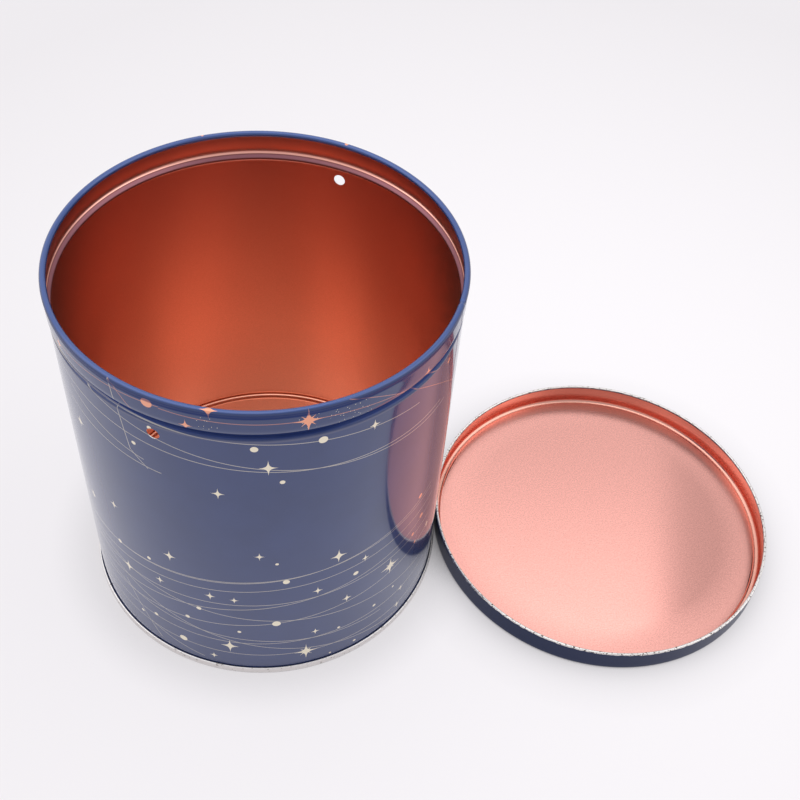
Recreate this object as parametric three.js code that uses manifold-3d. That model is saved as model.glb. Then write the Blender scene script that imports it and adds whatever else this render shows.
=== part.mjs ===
// Round tinplate tin with a double-seamed base and a loose slip lid, in millimetres, +Z up.
// The lid lies upside-down on the table beside the tin, towards +X. Profiles are drawn as (r, z),
// with z measured up from the table, and revolved about the vertical axis. The origin is the centre
// of the flat underside of the base panel, so the whole assembly is lowered by that height.
import * as THREE from 'three';
import { mergeVertices } from 'three/addons/utils/BufferGeometryUtils.js';
import Module from 'manifold-3d';

const wasm = await Module();
wasm.setup();

// Driving dimensions.
const SHEET = 0.25;
const LAYER_GAP = 0.1;
const RIM_RADIUS = 80;
const TIN_HEIGHT = 172.7;
const BODY_RADIUS = RIM_RADIUS - 0.6;
const NECK_RADIUS = RIM_RADIUS - 0.1;
const RADIAL_SEGMENTS = 48;

// Top of the body: an inward curl, a neck band that the lid slides over, and a groove rolled
// inwards below it for the lid's hem. A ledge leads in from the foot of the neck to the groove's
// upright floor, and a slope leads from there back out to the wall.
const CURL_DIAMETER = 2.5;
const NECK_TAPER = 0.1;
const NECK_TOP = 170;
const NECK_FOOT = 162.1;
const GROOVE_FLOOR_RADIUS = 77.7;
const GROOVE_FLOOR_HIGH = 160.1;
const GROOVE_FLOOR_LOW = 159.2;
const GROOVE_LOW = 158.1;

// Two punched holes for a wire handle, 2 degrees off being exactly opposite each other.
const HOLE_DIAMETER = 5;
const HOLE_SIDES = 20;
const HOLE_HEIGHT = 152.9;
const HOLE_ANGLES = [-115.8, 66.2];

// The lock seam that closes the body sheet stands proud on the inside.
const SIDE_SEAM_ANGLE = -18.75;
const SIDE_SEAM_HALF_WIDTH = 1.6;
const SIDE_SEAM_PROUD = 0.55;

// Base end: panel, raised ring next to the wall, and the double seam round the foot.
const BASE_PANEL_UNDERSIDE = 6.6;
const BASE_RING_TOP = 8.4;
const BASE_RING_RADIUS = 0.75;
const FOOT_CORNER = 0.5;
const SEAM_HEIGHT = 3.5;
const BODY_HOOK_TIP = 2.7;
const END_HOOK_TIP = 1.2;

// Slip lid: skirt with an inward hem, rounded shoulder, and a panel set in from the shoulder.
const LID_RADIUS = RIM_RADIUS + 1.7;
const LID_HEIGHT = 12.6;
const LID_HEM_DIAMETER = 1.4;
const LID_SHOULDER_RADIUS = 2.3;
const LID_PANEL_HEIGHT = 1.9;
const LID_PANEL_RADIUS = 78.5;
const LID_CLEARANCE_TO_FOOT = 0.45;

// Radii of the middle of each sheet layer in the base seam, from the inside out. The hooks turn
// back on themselves one pitch away.
const PITCH = SHEET + LAYER_GAP;
const WALL_MID = BODY_RADIUS - SHEET / 2;
const CHUCK_WALL_MID = WALL_MID - PITCH;
const END_HOOK_MID = WALL_MID + PITCH;
const BODY_HOOK_MID = WALL_MID + 2 * PITCH;
const SEAMING_WALL_MID = WALL_MID + 3 * PITCH;
const FOOT_RADIUS = SEAMING_WALL_MID + SHEET / 2;
const LID_CENTRE_X = FOOT_RADIUS + LID_CLEARANCE_TO_FOOT + LID_RADIUS;

const QUARTER_TURN = Math.PI / 2;

function point(r, z) {
  return new THREE.Vector2(r, z);
}

// Points on an arc in the (r, z) plane, from one angle to the other in degrees.
function arc(r, z, radius, from, to, steps) {
  const points = [];
  for (let i = 0; i <= steps; i++) {
    const angle = THREE.MathUtils.degToRad(THREE.MathUtils.lerp(from, to, i / steps));
    points.push(point(r + radius * Math.cos(angle), z + radius * Math.sin(angle)));
  }
  return points;
}

// Unit normal to the left of the direction from a to b.
function leftNormal(a, b) {
  const along = b.clone().sub(a).normalize();
  return point(-along.y, along.x);
}

// Closed outline of a sheet whose middle follows the path, mitred at each bend.
function sheetOutline(path) {
  const left = [];
  const right = [];
  path.forEach((p, i) => {
    const before = leftNormal(path[Math.max(i - 1, 0)], path[Math.max(i, 1)]);
    const last = path.length - 1;
    const after = leftNormal(path[Math.min(i, last - 1)], path[Math.min(i + 1, last)]);
    const bisector = before.clone().add(after).normalize();
    const reach = SHEET / 2 / bisector.dot(after);
    left.push(p.clone().addScaledVector(bisector, reach));
    right.push(p.clone().addScaledVector(bisector, -reach));
  });
  return [...left, ...right.reverse()];
}

// Solid of revolution about +Z. An outline that keeps off the axis is closed on itself.
function revolve(outline) {
  const points = THREE.ShapeUtils.area(outline) < 0 ? [...outline].reverse() : [...outline];
  const touchesAxis = points.some((p) => p.x < 1e-9);
  if (touchesAxis) {
    while (points[0].x > 1e-9 || points[points.length - 1].x > 1e-9) {
      points.push(points.shift());
    }
  } else {
    points.push(points[0].clone());
  }
  const geometry = new THREE.LatheGeometry(points, RADIAL_SEGMENTS);
  return geometry.rotateX(QUARTER_TURN);
}

function toSolid(geometry) {
  const bare = geometry.clone();
  bare.deleteAttribute('normal');
  bare.deleteAttribute('uv');
  const merged = mergeVertices(bare, 1e-4);
  const index = merged.getIndex().array;
  const triangles = [];
  for (let i = 0; i < index.length; i += 3) {
    const [a, b, c] = [index[i], index[i + 1], index[i + 2]];
    if (a !== b && b !== c && c !== a) {
      triangles.push(a, b, c);
    }
  }
  return new wasm.Manifold(new wasm.Mesh({
    numProp: 3,
    vertProperties: new Float32Array(merged.getAttribute('position').array),
    triVerts: new Uint32Array(triangles),
  }));
}

function toGeometry(solid) {
  const mesh = solid.getMesh();
  const geometry = new THREE.BufferGeometry();
  geometry.setAttribute('position', new THREE.BufferAttribute(mesh.vertProperties, 3));
  geometry.setIndex(new THREE.BufferAttribute(mesh.triVerts, 1));
  geometry.computeVertexNormals();
  return geometry;
}

// Middle line of the body sheet, from the tip of the hook in the base seam, down round the hook,
// up the wall, through the groove and the neck, and round the curl.
function bodyPath() {
  const hookCentre = (BODY_HOOK_MID + WALL_MID) / 2;
  const hookHeight = SHEET + LAYER_GAP + SHEET / 2 + PITCH;
  const path = [point(BODY_HOOK_MID, BODY_HOOK_TIP)];
  path.push(...arc(hookCentre, hookHeight, PITCH, 0, -180, 3));

  const neckMid = NECK_RADIUS - SHEET / 2;
  path.push(point(WALL_MID, GROOVE_LOW));
  path.push(point(GROOVE_FLOOR_RADIUS, GROOVE_FLOOR_LOW));
  path.push(point(GROOVE_FLOOR_RADIUS, GROOVE_FLOOR_HIGH));
  path.push(point(neckMid, NECK_FOOT), point(neckMid - NECK_TAPER, NECK_TOP));

  const curlRadius = CURL_DIAMETER / 2;
  const curlStart = -30;
  const curlEnd = 285;
  const curl = arc(RIM_RADIUS - curlRadius, TIN_HEIGHT - curlRadius, curlRadius - SHEET / 2,
    curlStart, curlEnd, 8);
  path.push(...curl);
  return path;
}

// A round bar through the wall at one handle hole.
function holeCutter(angle) {
  const length = 8;
  const radius = HOLE_DIAMETER / 2;
  const cutter = new THREE.CylinderGeometry(radius, radius, length, HOLE_SIDES);
  cutter.rotateZ(QUARTER_TURN);
  cutter.translate(BODY_RADIUS, 0, HOLE_HEIGHT);
  return cutter.rotateZ(THREE.MathUtils.degToRad(angle));
}

// The band of folded sheet that the lock seam leaves along the inside of the wall.
function sideSeamBand() {
  const sunkInWall = 0.03;
  const endGap = 0.6;
  const outer = BODY_RADIUS - SHEET - sunkInWall;
  const inner = outer - SIDE_SEAM_PROUD;
  const from = THREE.MathUtils.degToRad(SIDE_SEAM_ANGLE - SIDE_SEAM_HALF_WIDTH);
  const to = THREE.MathUtils.degToRad(SIDE_SEAM_ANGLE + SIDE_SEAM_HALF_WIDTH);
  const section = new THREE.Shape();
  section.moveTo(outer * Math.cos(from), outer * Math.sin(from));
  section.lineTo(outer * Math.cos(to), outer * Math.sin(to));
  section.lineTo(inner * Math.cos(to), inner * Math.sin(to));
  section.lineTo(inner * Math.cos(from), inner * Math.sin(from));
  const low = BASE_RING_TOP + endGap;
  const high = GROOVE_LOW - endGap;
  const band = new THREE.ExtrudeGeometry(section, { depth: high - low, bevelEnabled: false });
  return band.translate(0, 0, low);
}

function bodyShell() {
  let solid = toSolid(revolve(sheetOutline(bodyPath())));
  solid = solid.add(toSolid(sideSeamBand()));
  for (const angle of HOLE_ANGLES) {
    solid = solid.subtract(toSolid(holeCutter(angle)));
  }
  return toGeometry(solid);
}

// Base end, from the centre of the panel out to the ring, down the chuck wall inside the body,
// out under the body hook, up the seaming wall and down behind the body hook.
function baseEnd() {
  const panel = BASE_PANEL_UNDERSIDE + SHEET / 2;
  const ringHeight = BASE_RING_TOP - SHEET / 2 - BASE_RING_RADIUS;
  const ringCentre = CHUCK_WALL_MID - BASE_RING_RADIUS;
  const footHeight = SHEET / 2 + FOOT_CORNER;
  const turnHeight = SEAM_HEIGHT - SHEET / 2 - PITCH;
  const turnCentre = (SEAMING_WALL_MID + END_HOOK_MID) / 2;
  const fillet = 0.5;
  const path = [point(0, panel), point(ringCentre - BASE_RING_RADIUS - fillet, panel)];
  path.push(...arc(ringCentre, ringHeight, BASE_RING_RADIUS, 180, 0, 4));
  path.push(...arc(CHUCK_WALL_MID + FOOT_CORNER, footHeight, FOOT_CORNER, 180, 270, 2));
  path.push(...arc(SEAMING_WALL_MID - FOOT_CORNER, footHeight, FOOT_CORNER, 270, 360, 2));
  path.push(...arc(turnCentre, turnHeight, PITCH, 0, 180, 3));
  path.push(point(END_HOOK_MID, END_HOOK_TIP));
  return revolve(sheetOutline(path));
}

// Ring of sealing compound in the space above the tip of the body hook.
function seamCompound() {
  const halfWidth = 0.1;
  const depth = 0.3;
  const low = BODY_HOOK_TIP + LAYER_GAP;
  const high = low + depth;
  const section = [
    point(BODY_HOOK_MID - halfWidth, low),
    point(BODY_HOOK_MID + halfWidth, low),
    point(BODY_HOOK_MID + halfWidth, high),
    point(BODY_HOOK_MID - halfWidth, high),
  ];
  return revolve(section);
}

// Lid lying on its shoulder with the open side up: the panel is raised off the table inside it.
function slipLid() {
  const panel = LID_PANEL_HEIGHT - SHEET / 2;
  const skirt = LID_RADIUS - SHEET / 2;
  const lowest = SHEET / 2;
  const bend = 0.6;
  const shoulder = LID_SHOULDER_RADIUS - SHEET / 2;
  const hem = LID_HEM_DIAMETER / 2;
  const path = [point(0, panel)];
  path.push(...arc(LID_PANEL_RADIUS - bend, panel - bend, bend, 90, 0, 2));
  path.push(...arc(LID_PANEL_RADIUS + bend, lowest + bend, bend, 180, 270, 2));
  path.push(...arc(skirt - shoulder, lowest + shoulder, shoulder, 270, 360, 3));
  path.push(...arc(LID_RADIUS - hem, LID_HEIGHT - hem, hem - SHEET / 2, 0, 270, 6));
  return revolve(sheetOutline(path));
}

function material(colour, roughness, metalness) {
  return new THREE.MeshStandardMaterial({ color: colour, roughness, metalness });
}

function mesh(name, geometry, finish) {
  const piece = new THREE.Mesh(geometry, finish);
  piece.name = name;
  return piece;
}

const tin = new THREE.Group();
tin.add(mesh('body_shell', bodyShell(), material(0x1d3878, 0.3, 0.4)));
tin.add(mesh('base_end', baseEnd(), material(0xa9a79f, 0.35, 1)));
tin.add(mesh('seam_compound', seamCompound(), material(0xb9b3a4, 0.9, 0)));

const lid = mesh('lid', slipLid(), material(0xe0a090, 0.45, 0.6));
lid.position.x = LID_CENTRE_X;

const group = new THREE.Group();
group.add(tin, lid);
group.position.z = -BASE_PANEL_UNDERSIDE;

export default group;
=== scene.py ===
"""Looks of a round tinplate tin and its slip lid: fine sheet-metal meshes, print, lacquer, floor, light."""
import math

import bmesh
import bpy
import numpy as np
from mathutils import Matrix, Vector


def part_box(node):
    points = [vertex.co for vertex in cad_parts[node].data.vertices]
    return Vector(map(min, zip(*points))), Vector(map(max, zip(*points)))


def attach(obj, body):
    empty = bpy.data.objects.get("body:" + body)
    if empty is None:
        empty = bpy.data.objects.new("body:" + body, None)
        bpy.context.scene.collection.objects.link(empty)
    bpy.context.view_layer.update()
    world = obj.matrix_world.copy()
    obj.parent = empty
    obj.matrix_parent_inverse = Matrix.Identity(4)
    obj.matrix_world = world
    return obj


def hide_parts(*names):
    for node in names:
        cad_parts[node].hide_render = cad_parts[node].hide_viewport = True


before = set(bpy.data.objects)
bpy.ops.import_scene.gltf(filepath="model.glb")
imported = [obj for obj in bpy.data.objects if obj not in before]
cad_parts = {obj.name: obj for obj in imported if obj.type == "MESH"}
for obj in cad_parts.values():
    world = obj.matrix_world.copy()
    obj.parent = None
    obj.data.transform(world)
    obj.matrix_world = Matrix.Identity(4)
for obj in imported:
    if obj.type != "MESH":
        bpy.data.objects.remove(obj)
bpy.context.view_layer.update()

# Sizes are in millimetres, heights are above the table, and angles are in degrees, 0 towards +X.
MM = 0.001
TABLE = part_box("base_end")[0].z
RIM_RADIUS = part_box("body_shell")[1].x / MM
TIN_HEIGHT = (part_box("body_shell")[1].z - TABLE) / MM
LID_LOW, LID_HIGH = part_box("lid")
LID_CENTRE = Vector(((LID_LOW.x + LID_HIGH.x) / 2, 0, TABLE))
LID_RADIUS = (LID_HIGH.x - LID_LOW.x) / 2 / MM
LID_HEIGHT = (LID_HIGH.z - LID_LOW.z) / MM

# Sheet and the profile of the body, as in the CAD. The layers of the base seam lie LAYER_PITCH apart.
SHEET = 0.25
LAYER_PITCH = 0.35
BODY_RADIUS = RIM_RADIUS - 0.6
NECK_RADIUS = RIM_RADIUS - 0.1
CURL_RADIUS = 1.25
NECK_TAPER = 0.1
TAPER_HEIGHT = 7.4
NECK_FOOT = 162.1
GROOVE_FLOOR_RADIUS = 77.7
GROOVE_FLOOR_HIGH = 160.1
GROOVE_FLOOR_LOW = 159.2
GROOVE_LOW = 158.1
HOLE_RADIUS = 2.5
HOLE_HEIGHT = 152.9
HOLE_ANGLES = (-115.8, 66.2)

# Lock seam: its place and half width are angles, and it stands proud inside the wall.
SEAM_ANGLE = -18.75
SEAM_HALF_WIDTH = 1.6
SEAM_PROUD = 0.55
SEAM_LOW = 9.0
SEAM_HIGH = 157.0
SEAM_LINE_DEPTH = 0.12
CURL_NOTCH = 0.14

# One shallow dent under the groove.
DENT_ANGLE = 116
DENT_HEIGHT = 152
DENT_DEPTH = 0.35
DENT_HALF_WIDTH = 3.5
DENT_HALF_HEIGHT = 3.0

# Base end and its double seam.
PANEL_UNDERSIDE = 6.6
RING_TOP = 8.4
RING_RADIUS = 0.75
RING_FILLET = 0.5
FOOT_CORNER = 0.5
FOOT_SEAM_HEIGHT = 3.5
BODY_HOOK_TIP = 2.7
END_HOOK_TIP = 1.2
WALL_MID = BODY_RADIUS - SHEET / 2
CHUCK_MID = WALL_MID - LAYER_PITCH
END_HOOK_MID = WALL_MID + LAYER_PITCH
BODY_HOOK_MID = WALL_MID + 2 * LAYER_PITCH
SEAMING_MID = WALL_MID + 3 * LAYER_PITCH
COMPOUND_RADIUS = 0.12
COMPOUND_GAP = 0.16

# Lid.
HEM_RADIUS = 0.7
SHOULDER_RADIUS = 2.3
LID_PANEL_TOP = 1.9
LID_PANEL_RADIUS = 78.5
LID_BEND = 0.4

# Columns of faces round each piece.
COLUMNS = 480

# The print is unrolled to millimetres: across = angle * ACROSS, up = height above the table. It starts a
# full turn before the side seam.
ACROSS = math.radians(1) * BODY_RADIUS
PRINT_START = SEAM_ANGLE - 360


# ---------------------------------------------------------------- meshes

def arc(r, z, radius, start, end, steps):
    """Points on an arc in the (r, z) plane."""
    angles = np.radians(np.linspace(start, end, steps + 1))
    return [(r + radius * math.cos(a), z + radius * math.sin(a)) for a in angles]


def sheet_outline(path):
    """Closed outline of a sheet whose middle follows the path, and the side of the sheet of each point.

    The first half lies right of the path (side 0), and the second half comes back on its left (side 1)."""
    path = np.array(path)
    steps = np.diff(path, axis=0)
    steps /= np.linalg.norm(steps, axis=1)[:, None]
    normals = np.stack([-steps[:, 1], steps[:, 0]], axis=1)
    before = np.vstack([normals[:1], normals])
    after = np.vstack([normals, normals[-1:]])
    bisector = before + after
    bisector /= np.linalg.norm(bisector, axis=1)[:, None]
    reach = SHEET / 2 / np.sum(bisector * after, axis=1)[:, None]
    right = path - bisector * reach
    left = path + bisector * reach
    sides = np.array([0] * len(path) + [1] * len(path))
    return np.vstack([right, left[::-1]]), sides


def unrolled_height(outline):
    """Height of each outline point on the flat sheet: z on the wall, then on along the curl's arc."""
    heights = outline[:, 1].copy()
    centre = np.array([RIM_RADIUS - CURL_RADIUS, TIN_HEIGHT - CURL_RADIUS])
    offset = outline - centre
    turn = np.degrees(np.arctan2(offset[:, 1], offset[:, 0]))
    turn = np.where(turn < -60, turn + 360, turn)
    on_curl = np.linalg.norm(offset, axis=1) < CURL_RADIUS * 1.2
    return np.where(on_curl, centre[1] + np.radians(turn) * CURL_RADIUS, heights)


def revolve(name, outline, sides, slots, angles, warp=None, heights=None):
    """Closed solid of revolution about +Z. Columns stand at the given angles, all the way round.

    slots gives the material slot of side 0, side 1 and the sheet's cut edges."""
    count = len(outline)
    poles = outline[:, 0] < 1e-6
    theta = np.radians(angles)
    radius = np.tile(outline[:, 0], (len(angles), 1))
    height = np.tile(outline[:, 1], (len(angles), 1))
    if warp:
        radius, height = warp(np.array(angles)[:, None], radius, height, sides[None, :])
    grid = np.stack([radius * np.cos(theta)[:, None], radius * np.sin(theta)[:, None], height], axis=2)
    vertices = list(map(tuple, (grid.reshape(-1, 3) * MM)))
    faces, uvs, materials = [], [], []
    if heights is None:
        heights = outline[:, 1]
    for j in range(len(angles)):
        following = (j + 1) % len(angles)
        from_angle = angles[j]
        to_angle = angles[following] + (360 if following == 0 else 0)
        for k in range(count):
            after = (k + 1) % count
            if poles[k] and poles[after]:
                continue
            corners = [(j, k, from_angle), (following, k, to_angle),
                       (following, after, to_angle), (j, after, from_angle)]
            if poles[k]:
                corners = [(0, k, from_angle)] + corners[2:]
            elif poles[after]:
                corners = corners[:2] + [(0, after, from_angle)]
            faces.append([c * count + p for c, p, _ in corners])
            uvs += [(a * ACROSS, heights[p]) for _, p, a in corners]
            materials.append(slots[2] if sides[k] != sides[after] else slots[sides[k]])
    mesh = bpy.data.meshes.new(name)
    mesh.from_pydata(vertices, [], faces)
    mesh.uv_layers.new(name="unrolled").data.foreach_set("uv", np.array(uvs, np.float32).ravel())
    mesh.polygons.foreach_set("material_index", materials)
    piece = bpy.data.objects.new(name, mesh)
    bpy.context.scene.collection.objects.link(piece)
    drop_loose(piece)
    return piece


def drop_loose(piece):
    """Removes the vertices that no face uses: the copies of a pole."""
    used = np.zeros(len(piece.data.vertices), bool)
    for face in piece.data.polygons:
        used[list(face.vertices)] = True
    if used.all():
        return
    work = bmesh.new()
    work.from_mesh(piece.data)
    work.verts.ensure_lookup_table()
    bmesh.ops.delete(work, geom=[v for v in work.verts if not v.link_faces], context="VERTS")
    work.to_mesh(piece.data)
    work.free()


def finish_mesh(piece, materials, location, crease=35):
    """Materials, smooth shading with sharp cut edges, and the piece's place."""
    for material in materials:
        piece.data.materials.append(material)
    piece.data.polygons.foreach_set("use_smooth", [True] * len(piece.data.polygons))
    piece.data.set_sharp_from_angle(angle=math.radians(crease))
    piece.location = location


def bump(distance, half_width, ramp):
    """1 within half_width of 0, falling smoothly to 0 over the ramp."""
    t = np.clip((half_width + ramp - np.abs(distance)) / ramp, 0, 1)
    return t * t * (3 - 2 * t)


def angle_between(angle, other):
    """Degrees from the other angle to this one, from -180 to 180."""
    return (angle - other + 180) % 360 - 180


def column_angles(extra=()):
    """Even column angles from the side seam round to it again, with extra ones where detail needs them."""
    even = PRINT_START + np.arange(COLUMNS) * 360 / COLUMNS
    extra = [(a - PRINT_START) % 360 + PRINT_START for a in extra]
    return sorted(set(np.round(even, 4)) | set(np.round(extra, 4)))


def body_path():
    """Middle of the body sheet, from the hook tip in the foot seam up to the end of the curl."""
    hook_centre = (BODY_HOOK_MID + WALL_MID) / 2
    hook_height = SHEET / 2 + 2 * LAYER_PITCH
    path = [(BODY_HOOK_MID, BODY_HOOK_TIP)]
    path += arc(hook_centre, hook_height, LAYER_PITCH, 0, -180, 8)
    for z in (2, 4, 8, SEAM_LOW, SEAM_LOW + 0.4, 12, 30, 60, 90, 120, 145, SEAM_HIGH - 0.4, SEAM_HIGH):
        path.append((WALL_MID, z))
    neck_mid = NECK_RADIUS - SHEET / 2
    corners = [(WALL_MID, SEAM_HIGH), (WALL_MID, GROOVE_LOW), (GROOVE_FLOOR_RADIUS, GROOVE_FLOOR_LOW),
               (GROOVE_FLOOR_RADIUS, GROOVE_FLOOR_HIGH), (neck_mid, NECK_FOOT),
               (neck_mid - NECK_TAPER / 2, NECK_FOOT + 2)]
    reaches = [(0.6, 0.6), (0.4, 0.3), (0.3, 0.4), (1.0, 2.5)]
    for i, (before, after) in enumerate(reaches):
        path += rounded(corners[i], corners[i + 1], corners[i + 2], before, after)
    for z in (166, 167, 168, 169, 170):
        path.append((neck_mid - NECK_TAPER * ((z - NECK_FOOT) / TAPER_HEIGHT) ** 0.7, z))
    path += arc(RIM_RADIUS - CURL_RADIUS, TIN_HEIGHT - CURL_RADIUS, CURL_RADIUS - SHEET / 2, -30, 285, 28)
    return path


def rounded(before, corner, after, reach_before, reach_after):
    """Points on a short curve that cuts a corner. It starts and ends at the given distances from it."""
    before, corner, after = (np.array(p, float) for p in (before, corner, after))
    start = corner + (before - corner) * (reach_before / np.linalg.norm(before - corner))
    end = corner + (after - corner) * (reach_after / np.linalg.norm(after - corner))
    curve = []
    for t in np.linspace(0, 1, 9):
        curve.append(tuple((1 - t) ** 2 * start + 2 * t * (1 - t) * corner + t ** 2 * end))
    return curve


def body_warp(angle, radius, height, side):
    """Small shapes that break the round: the lock seam, its notch in groove and curl, and the dent."""
    off_seam = angle_between(angle, SEAM_ANGLE)
    along = bump(height - (SEAM_LOW + SEAM_HIGH) / 2, (SEAM_HIGH - SEAM_LOW) / 2 - 0.4, 0.4)
    fold = bump(off_seam, SEAM_HALF_WIDTH - 0.2, 0.2) * along
    radius = radius - SEAM_PROUD * fold * (side == 1)
    line = bump(off_seam + SEAM_HALF_WIDTH, 0.05, 0.2) * (height > 4) * (height < TIN_HEIGHT - 3)
    radius = radius - SEAM_LINE_DEPTH * line * (side == 0)
    in_groove = (height > GROOVE_LOW) & (height < NECK_FOOT) & (radius < BODY_RADIUS)
    filled = bump(off_seam, SEAM_HALF_WIDTH, 0.8) * in_groove
    radius = radius + (WALL_MID - radius) * 0.45 * filled
    curl_r = RIM_RADIUS - CURL_RADIUS
    curl_z = TIN_HEIGHT - CURL_RADIUS
    notch = 1 - CURL_NOTCH * bump(off_seam - 0.6, 0.5, 0.35) * (height > curl_z - CURL_RADIUS)
    radius = curl_r + (radius - curl_r) * notch
    height = curl_z + (height - curl_z) * notch
    across = angle_between(angle, DENT_ANGLE) * ACROSS / DENT_HALF_WIDTH
    up = (height - DENT_HEIGHT) / DENT_HALF_HEIGHT
    return radius - DENT_DEPTH * np.exp(-across ** 2 - up ** 2), height


def cut_holes(piece, edge_slot):
    """Punches the two handle holes through the wall."""
    for number, angle in enumerate(HOLE_ANGLES):
        work = bmesh.new()
        turn = Matrix.Rotation(math.radians(angle), 4, "Z") @ Matrix.Rotation(math.pi / 2, 4, "Y")
        raised = Matrix.Translation((0, 0, HOLE_HEIGHT * MM))
        place = raised @ turn @ Matrix.Translation((0, 0, BODY_RADIUS * MM))
        bmesh.ops.create_cone(work, cap_ends=True, segments=64, radius1=HOLE_RADIUS * MM,
                              radius2=HOLE_RADIUS * MM, depth=8 * MM, matrix=place)
        for face in work.faces:
            face.material_index = edge_slot
        mesh = bpy.data.meshes.new(f"punch_{number}")
        work.to_mesh(mesh)
        work.free()
        punch = bpy.data.objects.new(mesh.name, mesh)
        bpy.context.scene.collection.objects.link(punch)
        cut = piece.modifiers.new("hole", "BOOLEAN")
        cut.operation = "DIFFERENCE"
        cut.solver = "EXACT"
        cut.object = punch
        apply_modifiers(piece)
        bpy.data.objects.remove(punch)


def apply_modifiers(piece):
    """Keeps the evaluated mesh and clears the modifiers."""
    evaluated = piece.evaluated_get(bpy.context.evaluated_depsgraph_get())
    mesh = bpy.data.meshes.new_from_object(evaluated)
    piece.modifiers.clear()
    old = piece.data
    piece.data = mesh
    bpy.data.meshes.remove(old)


def make_body(printed, copper, bare):
    """The rolled body sheet, with more columns where the lock seam crosses it."""
    outline, sides = sheet_outline(body_path())
    off_seam = (-2.6, -2.1, -1.9, -1.8, -1.7, -1.6, -1.5, -1.4, -1.2, -0.6, -0.2,
                0.1, 0.4, 0.8, 1.1, 1.4, 1.5, 1.6, 1.8, 2.1, 2.6)
    columns = column_angles([SEAM_ANGLE + off for off in off_seam])
    piece = revolve("tin_body", outline, sides, (0, 1, 2), columns, body_warp, unrolled_height(outline))
    cut_holes(piece, 2)
    finish_mesh(piece, (printed, copper, bare), (0, 0, TABLE))
    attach(piece, "tin")
    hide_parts("body_shell")


def base_path():
    """Middle of the base end's sheet, from the centre of the panel out and round the double seam."""
    panel = PANEL_UNDERSIDE + SHEET / 2
    ring_height = RING_TOP - SHEET / 2 - RING_RADIUS
    ring_centre = CHUCK_MID - RING_RADIUS
    foot = SHEET / 2 + FOOT_CORNER
    turn_height = FOOT_SEAM_HEIGHT - SHEET / 2 - LAYER_PITCH
    turn_centre = (SEAMING_MID + END_HOOK_MID) / 2
    path = [(r, panel) for r in (0, 20, 45, 65, 74)]
    path += [(ring_centre - RING_RADIUS - RING_FILLET, panel)]
    path += arc(ring_centre, ring_height, RING_RADIUS, 180, 0, 14)
    path += [(CHUCK_MID, 5.0), (CHUCK_MID, 2.5)]
    path += arc(CHUCK_MID + FOOT_CORNER, foot, FOOT_CORNER, 180, 270, 6)
    path += arc(SEAMING_MID - FOOT_CORNER, foot, FOOT_CORNER, 270, 360, 6)
    path += [(SEAMING_MID, 1.5), (SEAMING_MID, 2.6)]
    path += arc(turn_centre, turn_height, LAYER_PITCH, 0, 180, 8)
    path += [(END_HOOK_MID, END_HOOK_TIP)]
    return path


def make_base(bare, copper):
    """The stamped base end, bare outside and lacquered inside."""
    outline, sides = sheet_outline(base_path())
    piece = revolve("tin_base_end", outline, sides, (0, 1, 0), column_angles())
    finish_mesh(piece, (bare, copper), (0, 0, TABLE))
    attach(piece, "tin")
    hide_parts("base_end")


def make_compound(material):
    """The bead of sealing compound over the tip of the body hook."""
    centre_height = BODY_HOOK_TIP + COMPOUND_RADIUS + COMPOUND_GAP
    outline = np.array(arc(BODY_HOOK_MID, centre_height, COMPOUND_RADIUS, 0, 324, 9))
    piece = revolve("seam_compound_bead", outline, np.zeros(len(outline), int), (0, 0, 0), column_angles())
    finish_mesh(piece, (material,), (0, 0, TABLE), 60)
    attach(piece, "tin")
    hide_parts("seam_compound")


def lid_path():
    """Middle of the lid's sheet as it lies open side up, from the centre of the panel out to the hem."""
    panel = LID_PANEL_TOP - SHEET / 2
    lowest = SHEET / 2
    skirt = LID_RADIUS - SHEET / 2
    shoulder = SHOULDER_RADIUS - SHEET / 2
    path = [(r, panel) for r in (0, 20, 45, 65, 75)]
    path += arc(LID_PANEL_RADIUS - LID_BEND, panel - LID_BEND, LID_BEND, 90, 0, 6)
    path += arc(LID_PANEL_RADIUS + LID_BEND, lowest + LID_BEND, LID_BEND, 180, 270, 6)
    path += arc(skirt - shoulder, lowest + shoulder, shoulder, 270, 360, 10)
    path += [(skirt, z) for z in (4.5, 8, 10.5)]
    path += arc(LID_RADIUS - HEM_RADIUS, LID_HEIGHT - HEM_RADIUS, HEM_RADIUS - SHEET / 2, 0, 270, 16)
    return path


def make_lid(outside, inside, bare):
    """The lid pressing, printed outside and lacquered inside."""
    outline, sides = sheet_outline(lid_path())
    piece = revolve("slip_lid", outline, sides, (0, 1, 2), column_angles())
    finish_mesh(piece, (outside, inside, bare), LID_CENTRE)
    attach(piece, "lid")
    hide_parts("lid")


# ---------------------------------------------------------------- materials

def srgb(red, green, blue):
    """A colour given as 0 to 255 display values."""
    def linear(v):
        v /= 255
        return v / 12.92 if v <= 0.04045 else ((v + 0.055) / 1.055) ** 2.4
    return (linear(red), linear(green), linear(blue), 1.0)


# Inks, lacquers and bare tin, in linear light, and the painted highlights, shades and reflection laid over
# them. srgb() turns display values into it.
NAVY = (0.027, 0.047, 0.15, 1)
MOTTLED_NAVY = tuple(c * 0.88 for c in NAVY[:3]) + (1,)
LID_NAVY = (0.013, 0.021, 0.062, 1)
# Painted highlight: a brighter blue along the top of the curl, where it catches the softbox.
PAINTED_CURL_HIGHLIGHT = (0.042, 0.085, 0.27, 1)
# Painted shade: a deeper blue for the crease under the curl and for the groove.
PAINTED_CREASE_SHADE = (0.008, 0.024, 0.13, 1)
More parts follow.
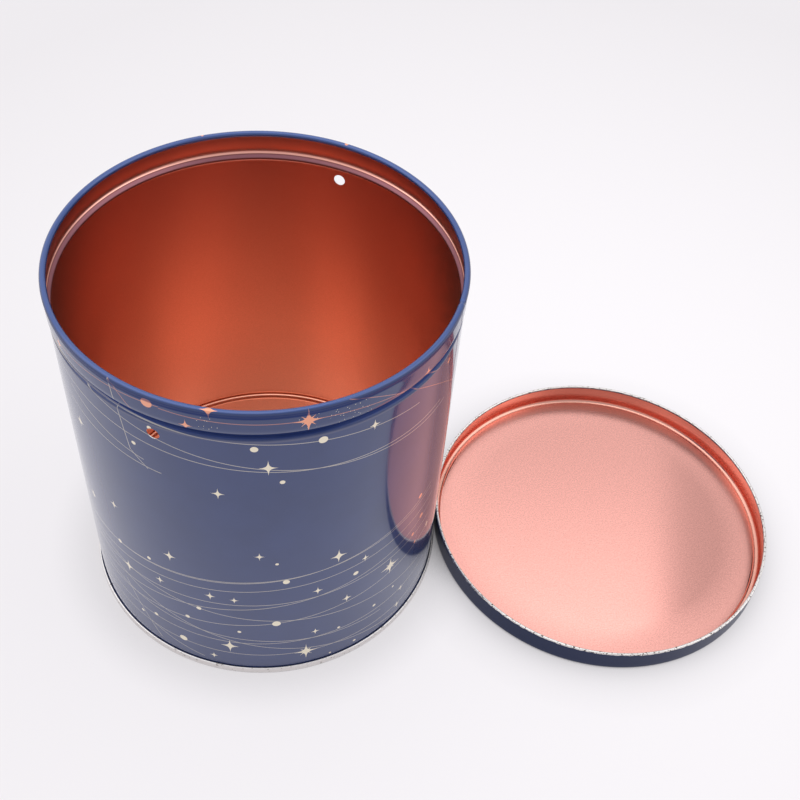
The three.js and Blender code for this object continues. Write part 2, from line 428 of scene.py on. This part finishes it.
# Painted highlight: a paler band on the rounded ridge just under the groove.
PAINTED_RIDGE_HIGHLIGHT = (0.13, 0.13, 0.19, 1)
CREAM = srgb(232, 222, 200)
COPPER_INK = srgb(236, 160, 128)
TIN = srgb(224, 220, 218)
GRIMY_TIN = srgb(140, 134, 128)
FLECKED_TIN = srgb(84, 74, 68)
BODY_COPPER = (0.87, 0.46, 0.335, 1)
# Painted shade: the inside wall darkens towards the top.
PAINTED_UPPER_SHADE = (0.58, 0.29, 0.26, 1)
# Painted highlight at the neck foot inside.
PAINTED_FOOT_HIGHLIGHT = (1, 0.5, 0.4, 1)
# Painted shade: the neck darkens up towards the curl.
PAINTED_NECK_SHADE = (0.5, 0.27, 0.26, 1)
# Painted reflection: the mauve of the curl's blue underside, mirrored in the groove's ledge.
PAINTED_LEDGE_REFLECTION = (0.29, 0.115, 0.14, 1)
# Painted shade: dark lines along the groove's edges.
PAINTED_GROOVE_SHADE = (0.2, 0.06, 0.06, 1)
LID_COPPER = (0.79, 0.385, 0.335, 1)
SKIRT_COPPER = (0.80, 0.40, 0.32, 1)


class Graph:
    """The nodes of a material or a world, with a short call for each kind of node used here."""

    def __init__(self, owner):
        self.owner = owner
        owner.use_nodes = True
        self.tree = owner.node_tree

    def put(self, socket, value):
        if isinstance(value, bpy.types.NodeSocket):
            self.tree.links.new(value, socket)
        elif value is not None:
            socket.default_value = value

    def node(self, kind, inputs=None, **settings):
        made = self.tree.nodes.new("ShaderNode" + kind)
        for key, value in settings.items():
            setattr(made, key, value)
        for key, value in (inputs or {}).items():
            self.put(made.inputs[key], value)
        return made

    def math(self, operation, *values):
        made = self.node("Math", operation=operation)
        for socket, value in zip(made.inputs, values):
            self.put(socket, value)
        return made.outputs[0]

    def vector(self, operation, *values):
        made = self.node("VectorMath", operation=operation)
        for socket, value in zip(made.inputs, values):
            self.put(socket, value)
        return made.outputs["Value" if operation in ("DISTANCE", "DOT_PRODUCT") else "Vector"]

    def mix(self, factor, first, second):
        made = self.node("Mix", data_type="RGBA")
        self.put(made.inputs["Factor"], factor)
        colours = [s for s in made.inputs if s.type == "RGBA"]
        self.put(colours[0], first)
        self.put(colours[1], second)
        return [s for s in made.outputs if s.type == "RGBA"][0]

    def ramp(self, value, low, high, out_low=0.0, out_high=1.0):
        made = self.node("MapRange", {"Value": value, "From Min": low, "From Max": high,
                                      "To Min": out_low, "To Max": out_high})
        return made.outputs["Result"]

    def smooth(self, value, low, high, out_low=0.0, out_high=1.0):
        made = self.ramp(value, low, high, out_low, out_high)
        made.node.interpolation_type = "SMOOTHSTEP"
        return made

    def band(self, value, low, high, blur):
        """Mask of the values between two limits, with blurred ends."""
        above = self.ramp(value, low - blur, low + blur)
        return self.math("MULTIPLY", above, self.ramp(value, high - blur, high + blur, 1, 0))

    def noise(self, coordinates, scale, detail=2.0):
        made = self.node("TexNoise", {"Vector": coordinates, "Scale": scale, "Detail": detail})
        return made.outputs["Fac"]

    def bump(self, height, distance, strength):
        made = self.node("Bump", {"Height": height, "Distance": distance, "Strength": strength})
        return made.outputs["Normal"]

    def surface(self, **inputs):
        """Sets the inputs of the material's shader, with spaces for underscores in their names."""
        shader = self.tree.nodes["Principled BSDF"]
        for key, value in inputs.items():
            self.put(shader.inputs[key.replace("_", " ")], value)
        return self.owner


def material_graph(name):
    """A new material's graph, and the place on the piece as its materials see it."""
    g = Graph(bpy.data.materials.new(name))
    return g, g.node("TexCoord").outputs["Object"]


def height_on(g, where):
    """Height above the table, in millimetres, of a place on a piece that stands on it."""
    return g.math("MULTIPLY", g.node("SeparateXYZ", {"Vector": where}).outputs["Z"], 1 / MM)


# The print. Between about -150 and -26 degrees, which the camera sees, the marks stand where the photo
# shows them. The others are made up.
# Four-pointed sparkles: angle, height, half-height of the long rays.
CREAM_SPARKLES = [
    (-86.5, 143.5, 4.2), (-99.8, 127.5, 3.2), (-58, 153, 3), (-89.8, 89, 2.6), (-116.5, 78, 3.6),
    (-67, 80, 4.5), (-58, 70, 2.5), (-136, 90.5, 2.8), (-149.5, 78, 3.6), (-146.5, 127.5, 3.6),
    (-105, 57.5, 2.9), (-97.8, 57, 2.4), (-73.2, 59.5, 2.8), (-121.4, 56, 2.6), (-134.5, 50, 4.2),
    (-63.7, 46, 2.9), (-73.8, 28, 2.4), (-100.3, 20, 5), (-105.8, 9.4, 2.4), (-41.8, 11, 2.6),
    (-40.7, 23, 2.3), (-27, 50, 3), (-165, 60, 3.6), (-172, 110, 3.6), (-186, 84, 3), (-180, 28, 3.6),
]
COPPER_SPARKLES = [
    (-106.3, 163.4, 3), (-40, 163.2, 3), (-100.3, 172.9, 3.8), (-27, 153.5, 3), (-149, 166, 3.2),
    (-176, 160, 3.4),
]
# Eight-pointed stars: angle, height, half-height of the long rays.
CREAM_STARS = [(-76.7, 13, 6), (-47.4, 50.6, 6), (-162, 22, 6)]
COPPER_STARS = [(-76.4, 167, 6)]
# Dots: angle, height, diameter.
CREAM_DOTS = [
    (-89.8, 153.9, 2.8), (-72.5, 154.8, 3.4), (-83, 135, 2), (-116.7, 155.4, 1.8), (-122.5, 142.6, 1.8),
    (-85, 83.5, 1.4), (-82.5, 70.3, 2.8), (-124.3, 68.6, 1.8), (-136.7, 64.7, 2.2), (-109, 45.7, 2.2),
    (-113.2, 36, 2), (-85.7, 39.4, 3.6), (-97, 32.6, 1.6), (-125.4, 24.6, 2), (-131.5, 19.6, 1.6),
    (-115.8, 15.9, 3.6), (-61, 62, 2.4), (-66, 24.6, 1.4), (-53, 27.4, 1.6), (-45, 31, 1.2),
    (-60, 7, 1.4), (-68.7, 5.6, 1), (-168, 74, 2.6), (-176, 45, 2), (-183, 140, 2.4),
]
COPPER_DOTS = [
    (-116.2, 169, 4.2), (-35, 82.7, 2.5), (-32.7, 65.6, 2.5), (-37, 58.6, 1.8), (-35, 50, 1.8),
    (-160, 168.5, 3),
]
# Thin hanging lines: angle and height of one end, of the other end, and the sag below their chord.
CREAM_LINES = [
    (-168, 172, -27, 133, 7), (-160, 158, -42, 149, -4), (-176, 158, -30, 136, 3.5),
    (-147, 147.6, -120, 135.5, 1.2), (-149, 139, -115, 131.4, 1.2), (-188, 60, -28, 82, 3),
    (-190, 56, -28, 79, -1), (-190, 50, -26, 72, -1), (-188, 44, -27, 58, -1.5), (-186, 32, -26, 66, 1),
    (-180, 60, -30, 32, 1), (-176, 66, -42, 6, 7), (-186, 27, -26, 50, 2), (-160, 38, -50, 20, 1),
    (-184, 26, -26, 24, 1.5), (-188, 19, -26, 12, 1), (-128, 16, -109, 6.5, 0.5),
    (-137, 37, -124.5, 7, 0.4), (-127.5, 172.5, -124, 138, 0.2), (-124, 138, -119, 131, 0.1),
]
COPPER_LINES = [
    (-66, 172.5, -18.8, 132, -4), (-127.4, 172.5, -120.8, 161.5, 0.2), (-150, 166.4, -113, 169, -0.3),
    (-113, 168.4, -76.5, 167.2, 0.4), (-76.5, 167.2, -33, 157, -2.2), (-198, 168, -150, 160, 0.5),
]
LINE_WIDTH = 0.34
CREAM_LINE_STRENGTH = 0.5
COPPER_LINE_STRENGTH = 0.45
# Places where the ink is knocked off the back of the curl: angle, height, diameter.
CURL_NICKS = [(64.1 - 360, TIN_HEIGHT + 0.5, 1.7), (109 - 360, TIN_HEIGHT + 0.4, 1.2)]
# Patches of star dust on the neck: angle, height, diameter.
DUST_PATCHES = [(-65, 167, 17), (-76, 167, 9), (-101, 166, 8), (-155, 166, 18)]
SPECK_SIZE = 0.07


def across_up(angle, height):
    """A place on the unrolled print."""
    return np.array([angle * ACROSS, height])


def sparkle(g, place, angle, height, size, wide=0.85, waist=0.09, turned=False):
    """Mask of a four-pointed star with hollow sides: (|x| + c)(|y| + c) stays under a limit."""
    x, y = across_up(angle, height)
    offset = g.vector("SUBTRACT", place, (x, y, 0))
    if turned:
        turn = g.node("VectorRotate", {"Vector": offset, "Angle": math.pi / 4}, rotation_type="Z_AXIS")
        offset = turn.outputs[0]
    offset = g.vector("MULTIPLY", offset, (1 / wide / size, 1 / size, 0))
    offset = g.vector("ADD", g.vector("ABSOLUTE", offset), (waist, waist, 0))
    parts = g.node("SeparateXYZ", {"Vector": offset})
    product = g.math("MULTIPLY", parts.outputs["X"], parts.outputs["Y"])
    return g.math("LESS_THAN", product, (1 + waist) * waist)


def great_star(g, place, angle, height, size):
    """Mask of an eight-pointed star: two sparkles, the smaller one turned."""
    upright = sparkle(g, place, angle, height, size, 0.95, 0.07)
    return g.math("MAXIMUM", upright, sparkle(g, place, angle, height, size * 0.65, 1, 0.07, turned=True))


def dot(g, place, angle, height, diameter):
    """Mask of a round dot."""
    x, y = across_up(angle, height)
    return g.math("LESS_THAN", g.vector("DISTANCE", place, (x, y, 0)), diameter / 2)


def hanging_line(g, place, angle_a, height_a, angle_b, height_b, sag):
    """Mask of a thin arc of a circle between two points."""
    a = across_up(angle_a, height_a)
    b = across_up(angle_b, height_b)
    chord = b - a
    half = np.linalg.norm(chord) / 2
    down = np.array([chord[1], -chord[0]]) / (2 * half)
    radius = (half ** 2 + sag ** 2) / (2 * sag)
    centre = (a + b) / 2 + down * (sag - radius)
    distance = g.vector("DISTANCE", place, (*centre, 0))
    on_circle = g.math("COMPARE", distance, abs(radius), LINE_WIDTH / 2)
    near = g.math("LESS_THAN", g.vector("DISTANCE", place, (*((a + b) / 2), 0)), half)
    return g.math("MULTIPLY", on_circle, near)


def most(g, masks):
    """The greatest of several masks, chained as they are made so that few are held at once."""
    total = None
    for mask in masks:
        total = mask if total is None else g.math("MAXIMUM", total, mask)
    return total


def figures(g, place, dots, sparkles, stars):
    """Mask of all the dots, sparkles and stars of one ink."""
    mask = most(g, (dot(g, place, *d) for d in dots))
    mask = g.math("MAXIMUM", mask, most(g, (sparkle(g, place, *s) for s in sparkles)))
    return g.math("MAXIMUM", mask, most(g, (great_star(g, place, *s) for s in stars)))


def printed_lines(g, place, colour):
    """The thin hanging lines in both inks, laid over the ground."""
    for lines, strength, ink in ((CREAM_LINES, CREAM_LINE_STRENGTH, CREAM),
                                 (COPPER_LINES, COPPER_LINE_STRENGTH, COPPER_INK)):
        mask = most(g, (hanging_line(g, place, *line) for line in lines))
        colour = g.mix(g.math("MULTIPLY", mask, strength), colour, ink)
    return colour


def print_material():
    """Deep blue print with sparkles, dots and hanging lines, under a gloss varnish, with painted highlights
    on the curl's top and on the ridge under the groove, and painted shade in the crease under the curl and
    in the groove.

    The print is designed for half a turn from the side seam, and comes twice round the tin."""
    g, where = material_graph("printed_tinplate")
    unrolled = g.node("UVMap", uv_map="unrolled").outputs["UV"]
    parts = g.node("SeparateXYZ", {"Vector": unrolled}).outputs
    across, up = parts["X"], parts["Y"]
    design_right = SEAM_ANGLE * ACROSS
    design_left = (SEAM_ANGLE - 180) * ACROSS
    wrapped = g.math("WRAP", across, design_right, design_left)
    place = g.node("CombineXYZ", {"X": wrapped, "Y": up}).outputs["Vector"]

    cream = figures(g, place, CREAM_DOTS, CREAM_SPARKLES, CREAM_STARS)
    cream = g.math("MAXIMUM", cream, neck_dust(g, place, up))
    copper = figures(g, place, COPPER_DOTS, COPPER_SPARKLES, COPPER_STARS)
    # The sparkle tip that reaches the curl comes only once.
    second_time = g.math("LESS_THAN", across, design_left)
    on_curl = g.math("GREATER_THAN", up, TIN_HEIGHT - 2.5)
    copper = g.math("MULTIPLY", copper, g.math("LESS_THAN", g.math("ADD", second_time, on_curl), 1.5))
    copper = g.math("MAXIMUM", copper, most(g, (dot(g, unrolled, *nick) for nick in CURL_NICKS)))

    # The worn mask is a painted highlight: a paler band on the rounded ridge just under the groove, where
    # it catches the light.
    worn = g.math("MULTIPLY", g.band(up, GROOVE_LOW - 1, GROOVE_LOW - 0.1, 0.3), 0.5)
    # Painted shade: the crease under the curl and the groove are darkened to a deeper blue, and their
    # varnish coat is thinned.
    crease = g.band(up, TIN_HEIGHT - 3.1, TIN_HEIGHT - 1, 0.3)
    groove = g.band(up, GROOVE_LOW + 0.4, NECK_FOOT, 0.2)
    creased = g.math("MAXIMUM", crease, groove)

    mottle = g.noise(where, 60, 3)
    colour = g.mix(g.ramp(mottle, 0.3, 0.7), MOTTLED_NAVY, NAVY)
    colour = printed_lines(g, place, colour)
    # Painted highlight along the top of the curl.
    colour = g.mix(g.ramp(up, TIN_HEIGHT - 0.6, TIN_HEIGHT + 0.3), colour, PAINTED_CURL_HIGHLIGHT)
    # Painted highlight on the ridge under the groove.
    colour = g.mix(worn, colour, PAINTED_RIDGE_HIGHLIGHT)
    colour = g.mix(cream, colour, CREAM)
    colour = g.mix(copper, colour, COPPER_INK)
    # Painted shade in the crease under the curl and in the groove.
    colour = g.mix(g.math("MULTIPLY", creased, 0.65), colour, PAINTED_CREASE_SHADE)
    return varnish(g, where, colour, creased)


def neck_dust(g, place, up):
    """Fine specks of star dust scattered over part of the neck band."""
    cells = g.node("TexVoronoi", {"Vector": place, "Scale": 0.5}, voronoi_dimensions="2D")
    speck = g.math("LESS_THAN", cells.outputs["Distance"], SPECK_SIZE)
    near = most(g, (dot(g, place, *patch) for patch in DUST_PATCHES))
    some = g.math("MULTIPLY", near, g.math("GREATER_THAN", g.noise(place, 0.2, 1.0), 0.42))
    on_neck = g.math("GREATER_THAN", up, GROOVE_FLOOR_LOW)
    below_curl = g.math("LESS_THAN", up, TIN_HEIGHT - 3)
    return g.math("MULTIPLY", g.math("MULTIPLY", speck, some), g.math("MULTIPLY", on_neck, below_curl))


def varnish(g, where, colour, crease):
    """The gloss varnish over the print, with a very slight orange peel, and dulled in the creases, where a
    thinner coat adds to their painted shade.
    """
    smear = g.noise(where, 35, 4)
    peel = g.bump(g.noise(where, 900, 2), 0.00001, 0.25)
    gloss = g.ramp(smear, 0.3, 0.7, 0.06, 0.09)
    weight = g.ramp(crease, 0, 1, 1, 0.15)
    return g.surface(Base_Color=colour, Metallic=0.5, Roughness=0.4, Specular_IOR_Level=0.0,
                     Coat_Weight=weight, Coat_Roughness=gloss, Coat_IOR=1.55, Normal=peel, Coat_Normal=peel)


def satin(g, where, tint, grain, relief):
    """A lacquer's colour and its surface, with a fine satin grain in the one and relief in the other."""
    fine = g.noise(where, 1500, 3)
    pale = tuple(min(1, c * (1 + grain)) for c in tint[:3]) + (1,)
    deep = tuple(c * (1 - grain) for c in tint[:3]) + (1,)
    return g.mix(g.ramp(fine, 0.3, 0.7), deep, pale), g.bump(fine, 0.00002, relief)


def body_lacquer_material():
    """Copper-toned lacquer inside the tin, with painted light: shade darkening the wall towards the top and
    the neck up to the curl, a highlight at the neck foot, shade on the groove's edges and a mauve
    reflection of the curl on its ledge, where the lacquer is also duller.
    """
    g, where = material_graph("copper_lacquer")
    up = height_on(g, where)
    colour, surface = satin(g, where, BODY_COPPER, 0.05, 0.1)
    # Painted shade: the inside wall darkens from 60 mm up to 160 mm.
    colour = g.mix(g.ramp(up, 60, 160), colour, PAINTED_UPPER_SHADE)
    # Painted highlight: a brighter copper from just under the neck foot upwards.
    colour = g.mix(g.ramp(up, NECK_FOOT - 1.1, NECK_FOOT - 0.8), colour, PAINTED_FOOT_HIGHLIGHT)
    # Painted shade: the neck darkens from above its foot up to the curl.
    colour = g.mix(g.ramp(up, NECK_FOOT + 1.2, NECK_FOOT + 5.9), colour, PAINTED_NECK_SHADE)
    # Painted shade: the groove band, from its floor to just under the neck foot, is darkened at its edges;
    # it is also made less metallic, rougher and uncoated.
    rolled = g.band(up, GROOVE_FLOOR_LOW, NECK_FOOT - 0.65, 0.1)
    # Painted reflection: the middle of the groove band gets the mauve of the curl's underside, mirrored in
    # its ledge.
    middle = g.band(up, GROOVE_FLOOR_HIGH, NECK_FOOT - 0.95, 0.1)
    colour = g.mix(rolled, colour, PAINTED_GROOVE_SHADE)
    colour = g.mix(middle, colour, PAINTED_LEDGE_REFLECTION)
    metallic = g.ramp(rolled, 0, 1, 1, 0.6)
    rough = g.ramp(rolled, 0, 1, 0.29, 0.35)
    coat = g.ramp(rolled, 0, 1, 0.3, 0)
    return g.surface(Base_Color=colour, Metallic=metallic, Roughness=rough, Coat_Weight=coat,
                     Coat_Roughness=0.15, Coat_IOR=1.5, Normal=surface)


def lid_lacquer_material():
    """Pink copper lacquer inside the lid: satin on the panel, rougher where the rim has been drawn."""
    g, where = material_graph("lid_lacquer")
    colour, surface = satin(g, where, LID_COPPER, 0.12, 0.05)
    parts = g.node("SeparateXYZ", {"Vector": where}).outputs
    flat = g.node("CombineXYZ", {"X": parts["X"], "Y": parts["Y"]}).outputs["Vector"]
    radius = g.math("MULTIPLY", g.vector("DISTANCE", flat, (0, 0, 0)), 1 / MM)
    on_panel = g.ramp(radius, LID_PANEL_RADIUS - 0.9, LID_PANEL_RADIUS - 0.6, 1, 0)
    drawn = g.math("MULTIPLY", g.ramp(radius, LID_PANEL_RADIUS - 18, LID_PANEL_RADIUS - 4), on_panel)
    skirt = g.ramp(radius, LID_PANEL_RADIUS + 0.6, LID_PANEL_RADIUS + 1)
    colour = g.mix(skirt, colour, SKIRT_COPPER)
    rough = g.math("ADD", g.ramp(drawn, 0, 1, 0.09, 0.3), g.ramp(skirt, 0, 1, 0, 0.18))
    return g.surface(Base_Color=colour, Metallic=1.0, Roughness=rough, Normal=surface)


def bare_material():
    """Bare tinplate, dulled and flecked where it has been rolled and handled."""
    g, where = material_graph("bare_tinplate")
    flecks = g.noise(where, 700, 4)
    colour = g.mix(g.ramp(flecks, 0.6, 0.72), TIN, GRIMY_TIN)
    rough = g.ramp(flecks, 0.3, 0.7, 0.28, 0.45)
    return g.surface(Base_Color=colour, Metallic=1.0, Roughness=rough, Normal=g.bump(flecks, 0.00003, 0.4))


def lid_outside_material():
    """Dark blue print that is worn off the top of the hem, where bare tinplate shows."""
    g, where = material_graph("lid_printed_tinplate")
    ragged = g.ramp(g.noise(where, 400, 4), 0.2, 0.8, -0.35, 0.35)
    edge = g.math("ADD", height_on(g, where), ragged)
    bare = g.ramp(edge, LID_HEIGHT - 0.6, LID_HEIGHT - 0.45)
    flecks = g.noise(where, 1200, 4)
    metal = g.mix(g.ramp(flecks, 0.57, 0.62), TIN, FLECKED_TIN)
    colour = g.mix(bare, LID_NAVY, metal)
    return g.surface(Base_Color=colour, Metallic=bare, Roughness=g.ramp(bare, 0, 1, 0.3, 0.35), IOR=1.4,
                     Specular_IOR_Level=0.18)


def compound_material():
    """Pale sealing compound."""
    g, where = material_graph("sealing_compound")
    colour = g.mix(g.noise(where, 400, 3), srgb(150, 144, 130), srgb(190, 184, 170))
    return g.surface(Base_Color=colour, Roughness=0.85)


# ---------------------------------------------------------------- stage

# The table: its colour, its half width in metres, and its glow, which is painted light: it fades away from
# a middle point and is dimmed near objects as painted shadow.
FLOOR = srgb(238, 235, 238)
FLOOR_SIZE = 4.0
SHADOW_REACH = 0.025
GLOW_MIDDLE = (0.15, 0.05, TABLE)
GLOW_NEAR = 0.85
GLOW_FAR = 0.67

# What the tin mirrors. The softbox overhead is placed by slopes: distances from the zenith per unit of
# height, to the right and to the back. Side boxes have a direction and a glow.
ROOM = (0.75, 0.75, 0.76, 1)
CAMERA_SIDE = (0.58, 0.58, 0.6, 1)
BACKDROP = (0.85, 0.83, 0.85, 1)
BOX_RIGHT = 0.235
BOX_TURN = 0.234
BOX_BLUR = 0.025
BOX_NEAR = 0.47
BOX_FAR = 0.87
BOX_TAIL = 0.25
BOX_FRONT = -0.55
SIDE_BOXES = [((0.72, -0.06, 0.69), 1.0), ((-0.72, -0.2, 0.69), 0.15)]
LOWEST_UP = 0.02

# Camera: place in millimetres from the middle of the foot, angles in degrees, lens in millimetres.
CAMERA_PLACE = (17.7, -325.2, 453.1)
CAMERA_YAW = 7.15
CAMERA_PITCH = 47.85
CAMERA_ROLL = 5.53
CAMERA_LENS = 50.68
SENSOR_WIDTH = 36


def floor_material():
    """A white floor, mostly lit by its own glow, which is painted light: painted shadow dims it where an
    object stands close, and the glow fades away from a middle point.
    """
    g, where = material_graph("painted_glow_floor")
    open_sky = g.node("AmbientOcclusion", {"Distance": SHADOW_REACH}, samples=8).outputs["AO"]
    # Painted shadow: the glow dims by ambient occlusion where an object stands close.
    shade = g.math("ADD", g.ramp(open_sky, 0, 0.5, 0.04, 0.75), g.ramp(open_sky, 0.5, 1, 0, 0.25))
    off_middle = g.vector("DISTANCE", where, GLOW_MIDDLE)
    # Painted pool of light: the glow fades away from GLOW_MIDDLE.
    glow = g.math("MULTIPLY", shade, g.ramp(off_middle, 0.05, 0.5, GLOW_NEAR, GLOW_FAR))
    dull = g.mix(0.72, FLOOR, (0, 0, 0, 1))
    return g.surface(Base_Color=dull, Roughness=0.9, Specular_IOR_Level=0.0, Emission_Color=FLOOR,
                     Emission_Strength=glow)


def make_floor():
    """A wide flat floor at the height of the foot."""
    mesh = bpy.data.meshes.new("floor")
    corners = [(x * FLOOR_SIZE, y * FLOOR_SIZE, TABLE) for x, y in ((-1, -1), (1, -1), (1, 1), (-1, 1))]
    mesh.from_pydata(corners, [], [(0, 1, 2, 3)])
    mesh.materials.append(floor_material())
    floor = bpy.data.objects.new("floor", mesh)
    bpy.context.scene.collection.objects.link(floor)


def softbox(g, slope_right, slope_back):
    """Mask of the big softbox. It fades towards the back, and its right edge is turned a little."""
    edge = g.math("MULTIPLY_ADD", slope_back, BOX_TURN, BOX_RIGHT)
    inside_right = g.smooth(g.math("SUBTRACT", edge, slope_right), -BOX_BLUR, BOX_BLUR)
    fade = g.smooth(slope_back, BOX_NEAR, BOX_FAR, 1, BOX_TAIL)
    front = g.smooth(slope_back, BOX_FRONT - 0.1, BOX_FRONT + 0.1)
    return g.math("MULTIPLY", g.math("MULTIPLY", inside_right, fade), front)


def camera_side(g, right, back, up, slope_back):
    """Mask of the dimmer side behind the camera, between the softbox and the bright low band."""
    towards_camera = g.math("MAXIMUM", g.math("MULTIPLY", back, -1), LOWEST_UP)
    turned_away = g.math("ABSOLUTE", g.math("DIVIDE", right, towards_camera))
    dark = g.smooth(turned_away, 0.4, 1.4, 1, 0)
    dark = g.math("MULTIPLY", dark, g.smooth(up, 0.25, 0.4))
    return g.math("MULTIPLY", dark, g.smooth(slope_back, BOX_FRONT - 0.15, BOX_FRONT, 1, 0))


def make_world():
    """The studio: a pale room with a big softbox overhead, a smaller one at each side, and a backdrop."""
    world = bpy.data.worlds.new("studio")
    g = Graph(world)
    g.tree.nodes.clear()
    direction = g.node("TexCoord").outputs["Generated"]
    parts = g.node("SeparateXYZ", {"Vector": direction}).outputs
    right, back, up = parts["X"], parts["Y"], parts["Z"]
    rise = g.math("MAXIMUM", up, LOWEST_UP)
    slope_back = g.math("DIVIDE", back, rise)
    box = softbox(g, g.math("DIVIDE", right, rise), slope_back)
    for aim, glow in SIDE_BOXES:
        towards = g.vector("DOT_PRODUCT", direction, tuple(Vector(aim).normalized()))
        box = g.math("MAXIMUM", box, g.smooth(towards, 0.86, 0.95, 0, glow))
    room = g.mix(camera_side(g, right, back, up, slope_back), ROOM, CAMERA_SIDE)
    lit = g.mix(1.0, room, g.node("CombineColor", {"Red": box, "Green": box, "Blue": box}).outputs[0])
    lit.node.blend_type = "ADD"
    lit.node.clamp_result = False
    colour = g.mix(g.node("LightPath").outputs["Is Camera Ray"], lit, BACKDROP)
    background = g.node("Background", {"Color": colour})
    output = g.node("OutputWorld")
    g.tree.links.new(background.outputs["Background"], output.inputs["Surface"])
    bpy.context.scene.world = world


def make_camera():
    """Camera at a height above the table, looking down past +Y, turned by yaw towards +X and rolled."""
    yaw, pitch, roll = (math.radians(a) for a in (CAMERA_YAW, CAMERA_PITCH, CAMERA_ROLL))
    ahead = Vector((math.sin(yaw) * math.cos(pitch), math.cos(yaw) * math.cos(pitch), -math.sin(pitch)))
    level = Vector((math.cos(yaw), -math.sin(yaw), 0))
    above = level.cross(ahead)
    right = level * math.cos(roll) + above * math.sin(roll)
    up = above * math.cos(roll) - level * math.sin(roll)
    data = bpy.data.cameras.new("camera")
    data.sensor_width = SENSOR_WIDTH
    data.lens = CAMERA_LENS
    data.clip_start = 0.01
    camera = bpy.data.objects.new("camera", data)
    x, y, z = (c * MM for c in CAMERA_PLACE)
    rotation = Matrix((right, up, -ahead)).transposed().to_4x4()
    camera.matrix_world = Matrix.Translation((x, y, z + TABLE)) @ rotation
    bpy.context.scene.collection.objects.link(camera)
    bpy.context.scene.camera = camera


# ---------------------------------------------------------------- scene

copper = body_lacquer_material()
bare = bare_material()
make_body(print_material(), copper, bare)
make_base(bare, copper)
make_compound(compound_material())
make_lid(lid_outside_material(), lid_lacquer_material(), bare)
make_floor()
make_world()
make_camera()
bpy.context.scene.view_settings.view_transform = "Standard"
